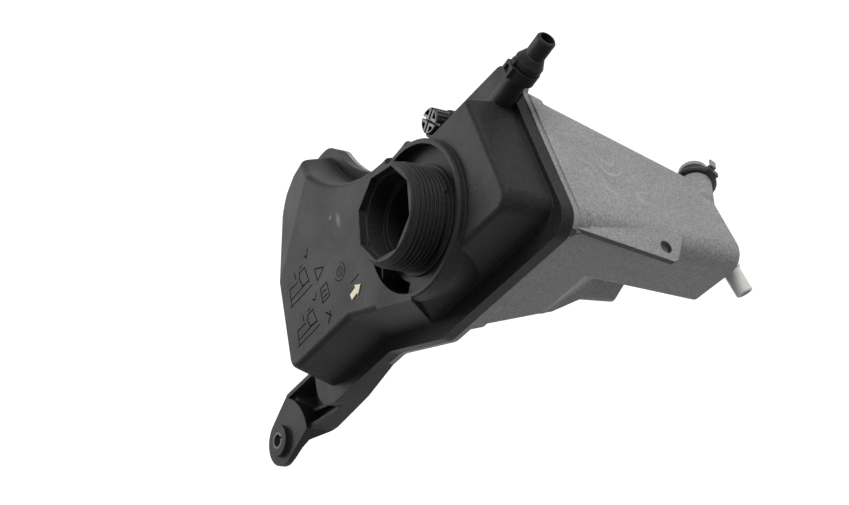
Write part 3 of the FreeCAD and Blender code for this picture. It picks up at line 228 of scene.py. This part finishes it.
def black_polyamide():
    material, bsdf, place = new_material(
        "black glass-filled polyamide, spark grain", "#1c1c1d", 0.5, Specular_IOR_Level=0.1)
    grain = noise(material, place, size_mm=0.5, detail=4.0)
    coarse = noise(material, place, size_mm=1.6)
    cloud = noise(material, place, size_mm=26.0)
    tone = mix_colours(material, cloud, "#0e0e0f", "#171718")
    tone = mix_colours(material, spread(material, coarse, 0.0, 0.75), tone, "#2b2b2d")
    tone = mix_colours(material, spread(material, grain, 0.0, 0.5), tone, "#343436")
    # painted highlight: every edge, convex and concave, is blended towards pale grey
    tone = mix_colours(material, edge_highlight_mask(material, radius_mm=0.5, strength=0.6), tone, "#5e5e60")
    for centre, radii in RUBS:
        tone = mix_colours(material, smudge(material, place, centre, radii, coarse), tone, "#6c6c6b")
    pitted = bump(material, coarse, depth_mm=0.20, normal=soft_edges(material, radius_mm=0.6))
    fine = bump(material, grain, depth_mm=0.05, normal=pitted)
    return surface(material, bsdf, tone, fine, spread(material, cloud, 0.46, 0.56))


# %% [markdown]
# ## The grey lower moulding
# The lower shell is grey polyamide. Its mould has a coarser grain, and the melt left long faint
# streaks down the leg and a patch of curled flow lines on its right side. A noise stretched along
# Z gives the streaks. The curls are the contour lines of a wide noise: its value is multiplied
# and folded up and down, and the lowest part of each fold becomes a thin pale line.

# %% Grey polyamide, coarse grain with flow lines
FLOW_PATCH = ((68.0, -4.0, -100.0), (30.0, 26.0, 27.0))
STREAK_STRETCH = (1.0, 1.0, 0.12)
LINE_SHARE = 0.16
CURL_STRENGTH = 0.4


def contour_lines(material, place, size_mm, turns):
    """Thin lines along the equal values of a wide noise."""
    value = noise(material, place, size_mm, detail=1.5, roughness=0.4)
    folded = maths(material, "PINGPONG", maths(material, "MULTIPLY", value, turns), 0.5)
    return remap(material, folded, (0.0, LINE_SHARE), (1.0, 0.0))


def grey_polyamide():
    material, bsdf, place = new_material(
        "grey polyamide, coarse spark grain", "#8f8f8f", 0.62, Specular_IOR_Level=0.3)
    grain = noise(material, place, size_mm=1.3, detail=5.0, roughness=0.75)
    cloud = noise(material, place, size_mm=30.0, detail=4.0)
    stretched = add_node(material, "ShaderNodeMapping", {"Vector": place, "Scale": STREAK_STRETCH})
    flow = noise(material, stretched.outputs["Vector"], size_mm=7.0, detail=5.0, roughness=0.6)
    tone = mix_colours(material, spread(material, cloud, 0.0, 1.0), "#969696", "#a9a9a8")
    tone = mix_colours(material, spread(material, flow, 0.0, 0.45), tone, "#8a8a8a")
    tone = mix_colours(material, spread(material, grain, 0.0, 1.0), tone, "#626262")
    patch = smudge(material, place, *FLOW_PATCH, cloud)
    curls = maths(material, "MULTIPLY", contour_lines(material, place, size_mm=34.0, turns=9.0), patch)
    tone = mix_colours(material, maths(material, "MULTIPLY", curls, CURL_STRENGTH), tone, "#b4b4b3")
    grained = bump(material, grain, depth_mm=0.12, normal=soft_edges(material, radius_mm=0.7))
    return surface(material, bsdf, tone, grained, spread(material, cloud, 0.54, 0.68))


# %% [markdown]
# ## Finishes of the small pieces
# A noise varies the tone, the gloss and the finest relief of each. The metals have fine streaks,
# the rubber is matte and dusty, and the plug's white plastic lets a little light in.

# %% Plastics, metals, rubber and glass
def moulded_plastic(name, colour, dark, roughness, **shader):
    """A smooth moulded plastic whose tone and gloss vary a little."""
    material, bsdf, place = new_material(name, colour, roughness, **shader)
    cloud = noise(material, place, size_mm=4.0)
    fine = noise(material, place, size_mm=0.3, detail=2.0)
    relief = bump(material, fine, depth_mm=0.015, normal=soft_edges(material, radius_mm=0.25))
    gloss = spread(material, cloud, roughness - 0.06, roughness + 0.06)
    return surface(material, bsdf, mix_colours(material, cloud, dark, colour), relief, gloss)


def metal(name, colour, dark, roughness):
    """A metal with fine streaks in its tone and gloss."""
    material, bsdf, place = new_material(name, colour, roughness, Metallic=1.0)
    streaks = noise(material, place, size_mm=0.4, detail=4.0)
    relief = bump(material, streaks, depth_mm=0.01, normal=soft_edges(material, radius_mm=0.15))
    gloss = spread(material, streaks, roughness - 0.08, roughness + 0.1)
    return surface(material, bsdf, mix_colours(material, streaks, dark, colour), relief, gloss)


def rubber():
    material, bsdf, place = new_material("EPDM rubber, matte", "#161616", 0.7)
    dust = noise(material, place, size_mm=0.6)
    tone = mix_colours(material, dust, "#121212", "#1e1e1e")
    return surface(material, bsdf, tone, bump(material, dust, depth_mm=0.02))


def reed_glass():
    """Clear glass keeps one colour and only its surface is a little wavy."""
    material, bsdf, place = new_material(
        "soft reed glass, greenish", "#cfe0d4", 0.05, Transmission_Weight=0.9, IOR=1.5)
    waves = noise(material, place, size_mm=1.5)
    set_input(material, bsdf.inputs["Normal"], bump(material, waves, depth_mm=0.01))
    return material


def white_plastic():
    """The sensor's plug: white PBT that lets a little light through."""
    material, bsdf, place = new_material(
        "white PBT, slightly translucent", "#cbcbc9", 0.42,
        Subsurface_Weight=0.15, Subsurface_Scale=2 * MM)
    tone = mix_colours(material, noise(material, place, size_mm=5.0), "#c4c4c2", "#d2d2d0")
    fine = noise(material, place, size_mm=0.4)
    relief = bump(material, fine, depth_mm=0.015, normal=soft_edges(material, radius_mm=0.3))
    return surface(material, bsdf, tone, relief)


# %% [markdown]
# ## Dressing the solids
# Each solid keeps its mesh and only its material slots change. A table names the material of
# every piece, so nothing is left with a bare colour.

# %% Give every solid its material
black = black_polyamide()
grey = grey_polyamide()
black_small = moulded_plastic("black POM, satin", "#1b1b1c", "#121213", 0.42, Specular_IOR_Level=0.45)
float_foam = moulded_plastic("natural polypropylene, matte", "#d9d5c6", "#cbc7b7", 0.55)
seal_rubber = rubber()
finish = {
    "upper_shell": black,
    "lower_shell": grey,
    "ear_sleeve": metal("phosphated steel sleeve", "#4a4948", "#2f2f2f", 0.5),
    "bleed_screw": black_small,
    "bleed_screw_seal": seal_rubber,
    "outlet_lock_ring": black_small,
    "outlet_lock_spring": metal("dull spring steel", "#8c8c8b", "#6e6e6d", 0.35),
    "outlet_seal": seal_rubber,
    "level_sensor": white_plastic(),
    "sensor_seal": seal_rubber,
    "sensor_pin_a": metal("tinned brass pin", "#d8d2c4", "#b9b2a2", 0.3),
    "sensor_board": moulded_plastic("green glass-epoxy board", "#1f5b34", "#174a29", 0.4),
    "sensor_reed": reed_glass(),
    "level_float": float_foam,
    "float_magnet": moulded_plastic("sintered ferrite, dark grey", "#3a3a3c", "#2c2c2e", 0.55),
    "float_stop": float_foam,
}
finish["sensor_pin_b"] = finish["sensor_pin_a"]
for name, obj in frame["nodes"].items():
    obj.data.materials.clear()
    obj.data.materials.append(finish[name])
print("dressed", len(finish), "solids")

# %% [markdown]
# ### The fin's free edge
# The bracket fin's free edge and the inside of its hole get painted shade: a dark grey that stands
# in for the shadow there. Only those narrow faces take it, so the script picks faces by place and
# direction.

# %% Painted shade on the fin's free edge and in its hole
FIN_X = (68.5, 72.5)
FIN_TOP_Z = -56.0
FIN_HOLE_Y, FIN_HOLE_Z = -44.0, -118.0
FIN_HOLE_R = 3.6
HOLE_MARGIN = 0.1
FACES_FORWARD = -0.6
FACES_SIDEWAYS = 0.3


def on_fin_rim(centre, normal):
    """True for the faces of the fin's free edge and of its hole; the centre is in mm."""
    if not (FIN_X[0] < centre.x < FIN_X[1] and centre.z < FIN_TOP_Z):
        return False
    free_edge = centre.y < FIN_HOLE_Y and normal.y < FACES_FORWARD
    from_hole = math.hypot(centre.y - FIN_HOLE_Y, centre.z - FIN_HOLE_Z)
    in_hole = from_hole < FIN_HOLE_R + HOLE_MARGIN and abs(normal.x) < FACES_SIDEWAYS
    return free_edge or in_hole


lower = frame["nodes"]["lower_shell"]
# painted shade: dark grey for the shadow on the fin's thin free edge and inside its hole
lower.data.materials.append(
    moulded_plastic("grey polyamide, painted shade on fin edge", "#262626", "#181818", 0.7))
marked = 0
for face in lower.data.polygons:
    if on_fin_rim((lower.matrix_world @ face.center - mouth) / MM, face.normal):
        face.material_index = 1
        marked += 1
print("dark faces on the fin:", marked)

# %% [markdown]
# ## Marks on the cover
# The cover carries a painted arrow on a raised pad, the mould's date dial, and a few small line
# drawings. They are thin pieces of their own that lie on the plate. `strokes_mesh` lays a low
# ridge along each line: every corner gets four points, two at the ridge's foot and two on its
# narrower top, and neighbouring corners are joined by three strips.

# %% Builders for the marks
RIDGE = ((-1, 0.0), (-0.45, 1.0), (0.45, 1.0), (1, 0.0))
SUNK = 0.05
SHARPEST_CORNER = 0.4


def mesh_from(bm, name):
    """Stores what was built as a mesh."""
    mesh = bpy.data.meshes.new(name)
    bm.to_mesh(mesh)
    bm.free()
    return mesh


def finish_piece(name, mesh, material):
    """A piece of its own that moves with the tank."""
    obj = bpy.data.objects.new(name, mesh)
    bpy.context.collection.objects.link(obj)
    obj.data.materials.append(material)
    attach(obj, "tank")
    return obj


def sideways(before, point, after):
    """The direction across a line at one point, and the share of the width a corner keeps."""
    a = (point - before).normalized() if before is not None else (after - point).normalized()
    b = (after - point).normalized() if after is not None else a
    normal = Vector((-(a + b).y, (a + b).x)).normalized()
    return normal, max(SHARPEST_CORNER, normal.dot(Vector((-a.y, a.x))))


def strokes_mesh(name, lines, width, height, z):
    """One mesh of low ridges: each line is a list of (x, y) in mm from the neck."""
    bm = bmesh.new()
    half = width / 2
    for line in lines:
        closed = line[0] == line[-1]
        points = [Vector(p) for p in (line[:-1] if closed else line)]
        rails = []
        for i, point in enumerate(points):
            before = points[i - 1] if closed or i > 0 else None
            after = points[(i + 1) % len(points)] if closed or i + 1 < len(points) else None
            normal, share = sideways(before, point, after)
            reach = half / share
            ends = []
            for side, rise in RIDGE:
                spot = point + normal * reach * side
                ends.append(bm.verts.new(from_neck(spot.x, spot.y, z - SUNK + (height + SUNK) * rise)))
            rails.append(ends)
        pairs = list(zip(rails, rails[1:])) + ([(rails[-1], rails[0])] if closed else [])
        for first, second in pairs:
            for k in range(len(RIDGE) - 1):
                bm.faces.new((first[k], second[k], second[k + 1], first[k + 1]))
        if not closed:
            bm.faces.new(rails[0])
            bm.faces.new(rails[-1][::-1])
    bmesh.ops.recalc_face_normals(bm, faces=bm.faces)
    return mesh_from(bm, name)


def arc(centre, radius, steps=28, start=0.0, stop=360.0):
    """Points along a circle, or along a part of it, with the angles in degrees."""
    angles = [math.radians(start + (stop - start) * i / steps) for i in range(steps + 1)]
    points = [(centre[0] + radius * math.cos(a), centre[1] + radius * math.sin(a)) for a in angles]
    if stop - start == 360.0:
        points[-1] = points[0]
    return points


print("builders ready")

# %% [markdown]
# ### The painted arrow
# The pad has a bevelled rim, so it catches the light, and only its top face has the pale paint.

# %% Arrow
ARROW_TAIL = (-64.2, -10.4)
ARROW_TIP = (-53.2, -8.2)
ARROW_SHAFT = 4.2
ARROW_HEAD = 8.0
ARROW_HEAD_LENGTH = 5.4
ARROW_HEIGHT = 0.5
ARROW_SUNK = 0.1
ARROW_RIM = 0.25
WORN_FROM_TO = (0.6, 0.72)


def painted_arrow():
    """The arrow's pad: its outline as a thick plate whose upper rim is bevelled."""
    tail, tip = Vector(ARROW_TAIL), Vector(ARROW_TIP)
    along = (tip - tail).normalized()
    side = Vector((-along.y, along.x))
    shaft, head = side * ARROW_SHAFT / 2, side * ARROW_HEAD / 2
    barb = tip - along * ARROW_HEAD_LENGTH
    outline = [tail - shaft, barb - shaft, barb - head, tip, barb + head, barb + shaft, tail + shaft]
    top_z = PLATE_Z + ARROW_HEIGHT
    bm = bmesh.new()
    top = bm.faces.new([bm.verts.new(from_neck(p.x, p.y, top_z)) for p in outline])
    sides = bmesh.ops.extrude_face_region(bm, geom=[top])
    low = [v for v in sides["geom"] if isinstance(v, bmesh.types.BMVert)]
    bmesh.ops.translate(bm, verts=low, vec=(0, 0, -(ARROW_HEIGHT + ARROW_SUNK) * MM))
    bmesh.ops.recalc_face_normals(bm, faces=bm.faces)
    just_below_top = mouth.z + (top_z - 0.01) * MM
    rim = [e for e in bm.edges if all(v.co.z > just_below_top for v in e.verts)]
    bmesh.ops.bevel(bm, geom=rim, offset=ARROW_RIM * MM, segments=2, affect="EDGES")
    return mesh_from(bm, "arrow_mark")


def paint():
    """Pale yellow pad print, a little worn."""
    material, bsdf, place = new_material("pale yellow pad print, matte", "#ece8bf", 0.6)
    worn = noise(material, place, size_mm=1.2, detail=5.0)
    fade = remap(material, worn, WORN_FROM_TO, (0.0, 1.0))
    tone = mix_colours(material, fade, "#ece8bf", "#c9c69c")
    return surface(material, bsdf, tone, bump(material, worn, depth_mm=0.02))


arrow = finish_piece("arrow_mark", painted_arrow(), black)
arrow.data.materials.append(paint())
for face in arrow.data.polygons:
    if face.normal.z > 0.9:
        face.material_index = 1
print("arrow from", ARROW_TAIL, "to", ARROW_TIP)

# %% [markdown]
# ### The engraved drawings
# Two little drawings of a stepped outline, a triangle, a small icon, a zigzag, a dash and the
# mould's date dial are engraved beside the arrow. The strokes are almost flat, and their near-black
# colour is painted shade, standing in for the shadow in a fine engraved groove. They are plain line art
# that says nothing.

# %% Engraved line art
ENGRAVING_WIDTH = 0.9
ENGRAVING_HEIGHT = 0.12
DIAL = (-70.3, 9.8)
DIAL_RADII = (2.7, 5.2)
DIAL_ARC = (200.0, 430.0)
DIAL_NEEDLE = 1.9
DIAL_WIDTH = 0.5


def engraved():
    """Near-black and matte on a rough ground: painted shade for the inside of a fine engraved groove.
    """
    material, bsdf, place = new_material(
        "engraved line, rough, painted groove shade", "#070707", 0.95, Specular_IOR_Level=0.05)
    grit = noise(material, place, size_mm=0.4, detail=2.0)
    # painted shade: the near-black tone stands in for the shadow inside an engraved groove
    tone = mix_colours(material, grit, "#050505", "#0c0c0c")
    return surface(material, bsdf, tone, bump(material, grit, depth_mm=0.03))


def stepped_outline(x, y, stretch):
    """A generic outline of a vessel with a level line, about 25 mm wide."""
    lines = [
        [(0, 0), (24.4, 1.1)],
        [(1.9, 4.1), (21.0, 5.4)],
        [(1.9, 10.4), (11.3, 10.5)],
        [(1.9, 10.4), (1.1, -0.3)],
        [(13.1, 11.0), (14.2, 14.6), (20.0, 14.8), (21.9, 4.8), (14.9, 5.7), (13.1, 11.0)],
        [(9.4, 17.5), (9.5, 12.8)],
        [(21.6, 21.4), (23.4, 19.2), (26.2, 23.6)],
        [(14.6, 17.0), (17.6, 17.6)],
    ]
    return [[(x + px, y + py * stretch) for px, py in line] for line in lines]


TRIANGLE = [(-92.8, 24.8), (-84.1, 20.9), (-92.0, 16.6), (-92.8, 24.8)]
ICON = [
    [(-90.7, 10.7), (-83.8, 11.0), (-83.2, 2.2), (-90.8, 1.6), (-90.7, 10.7)],
    [(-89.8, 7.4), (-85.4, 7.6)],
    [(-89.2, 4.4), (-85.0, 4.6)],
]
ZIGZAG = [(-89.8, -4.8), (-85.0, -9.4), (-89.2, -12.0), (-85.2, -6.2)]
DASH = [(-61.9, -2.5), (-54.0, -1.6)]

line_art = stepped_outline(-121.9, 16.5, 1.0) + stepped_outline(-121.2, -9.1, 0.86)
line_art += [TRIANGLE, *ICON, ZIGZAG, DASH]
dial_lines = [
    arc(DIAL, DIAL_RADII[0]),
    [(DIAL[0], DIAL[1] - DIAL_NEEDLE), (DIAL[0], DIAL[1] + DIAL_NEEDLE)],
    arc(DIAL, DIAL_RADII[1], steps=24, start=DIAL_ARC[0], stop=DIAL_ARC[1]),
]
groove_shade_material = engraved()
for name, lines, width in (("engraved_drawings", line_art, ENGRAVING_WIDTH),
                           ("date_dial", dial_lines, DIAL_WIDTH)):
    mesh = strokes_mesh(name, lines, width, ENGRAVING_HEIGHT, PLATE_Z)
    finish_piece(name, mesh, groove_shade_material)
print("engraved", len(line_art) + len(dial_lines), "strokes")

# %% [markdown]
# ## Camera
# The photograph is a studio shot with a lens of moderate length, held so that the tank's upright
# direction lies nearly level in the picture. The direction is found first, then the camera is
# rolled about its own line of sight.

# %% Camera
SENSOR_WIDTH = 36.0
FRAME_WIDTH_PX = 849
FOCAL_PX = 1955.0
CAMERA_FROM_MOUTH = Vector((0.66893, -0.52262, 0.52859))
LINE_OF_SIGHT = Vector((-0.66830, 0.50189, -0.54907))
ROLL = -79.944

camera_data = bpy.data.cameras.new("camera")
camera_data.sensor_width = SENSOR_WIDTH
camera_data.lens = FOCAL_PX / FRAME_WIDTH_PX * SENSOR_WIDTH
camera = bpy.data.objects.new("camera", camera_data)
camera.rotation_mode = "QUATERNION"
level = LINE_OF_SIGHT.to_track_quat("-Z", "Y")
camera.rotation_quaternion = level @ Matrix.Rotation(math.radians(ROLL), 3, "Z").to_quaternion()
camera.location = mouth + CAMERA_FROM_MOUTH
bpy.context.collection.objects.link(camera)
bpy.context.scene.camera = camera
print("lens (mm):", round(camera_data.lens, 1))

# %% [markdown]
# ## Floor and light
# A catalogue picture has a white ground. Making the lamps stronger would wash out the tank, so
# the ground's white comes from the ground itself: `Light Path` tells a material which rays look
# at it, and only the camera's, the mirror's and the glass's rays see the added white. The tank
# is lit at a plain level, at which its colours come out as they are written.

# %% White for the eye, plain for the light
def seen_directly(owner):
    """1 for camera, glossy and transmission rays, 0 for the rays that only carry light."""
    rays = add_node(owner, "ShaderNodeLightPath").outputs
    seen = rays["Is Camera Ray"]
    for name in ("Is Glossy Ray", "Is Transmission Ray"):
        seen = maths(owner, "MAXIMUM", seen, rays[name])
    return seen


def when_seen(owner, seen, otherwise):
    """A strength that is one value for rays that look and another for rays that light."""
    return remap(owner, seen_directly(owner), (0.0, 1.0), (otherwise, seen))


print("ray switch ready")

# %% [markdown]
# ### The floor
# The lamps light only the floor near the tank. Farther away its own white grows, so that the
# ground stays white up to the horizon.

# %% White paper floor
FLOOR_DROP = 0.25
FLOOR_SIZE = 12.0
FLOOR_CENTRE = (0.2, 0.0)
FADE_FROM, FADE_TO = 0.9, 3.0
OWN_WHITE_NEAR, OWN_WHITE_FAR = 0.48, 0.9
WHITE = (1.0, 1.0, 1.0, 1.0)


def studio_paper():
    """White paper with a faint wide tone, whose own white only the looking rays see."""
    material, bsdf, place = new_material(
        "white studio paper", "#e4e4e4", 0.9, Specular_IOR_Level=0.05)
    tone = mix_colours(material, noise(material, place, size_mm=300.0), "#e2e2e2", "#e6e6e6")
    away = vector_maths(material, "LENGTH", place, output="Value")
    own_white = remap(material, away, (FADE_FROM, FADE_TO), (OWN_WHITE_NEAR, OWN_WHITE_FAR))
    set_input(material, bsdf.inputs["Base Color"], tone)
    set_input(material, bsdf.inputs["Emission Color"], WHITE)
    set_input(material, bsdf.inputs["Emission Strength"], when_seen(material, own_white, 0.0))
    return material


floor_z = cad_box[0].z - FLOOR_DROP
bpy.ops.mesh.primitive_plane_add(size=FLOOR_SIZE, location=(*FLOOR_CENTRE, floor_z))
floor = bpy.context.object
floor.name = "floor"
floor.data.materials.append(studio_paper())
print("floor at", round(floor_z, 3))

# %% [markdown]
# ### The world and the lamps
# The world shows white to the looking rays and gives little light. Three soft square lamps do
# the rest: a key from the right and above, a softer one from the rear left, and a weak fill from
# the front and below. `level` is what a white card facing the lamp would show, which is easier to
# judge than watts.

# %% World and lights
WORLD_SEEN = 1.0
WORLD_LIGHT = 0.16
LIT_POINT = (-10, 0, -60)

world = bpy.data.worlds.new("studio")
world.use_nodes = True
backdrop = world.node_tree.nodes["Background"]
backdrop.inputs["Color"].default_value = WHITE
set_input(world, backdrop.inputs["Strength"], when_seen(world, WORLD_SEEN, WORLD_LIGHT))
bpy.context.scene.world = world


def soft_light(name, direction, distance, size, level):
    """A square area light; level is how bright it makes a white card that faces it."""
    data = bpy.data.lights.new(name, "AREA")
    data.size = size
    data.energy = level * math.pi ** 2 * distance ** 2
    obj = bpy.data.objects.new(name, data)
    target = from_neck(*LIT_POINT)
    obj.location = target + Vector(direction).normalized() * distance
    obj.rotation_mode = "QUATERNION"
    obj.rotation_quaternion = (target - obj.location).to_track_quat("-Z", "Y")
    bpy.context.collection.objects.link(obj)


soft_light("right_key", (0.80, 0.42, 0.42), distance=2.6, size=1.4, level=0.88)
soft_light("rear_left_soft", (-0.62, 0.52, 0.62), distance=2.6, size=1.3, level=0.55)
soft_light("front_low_fill", (-0.45, -0.65, -0.30), distance=1.2, size=0.8, level=0.14)
bpy.context.scene.view_settings.view_transform = "Standard"
print("lights placed")
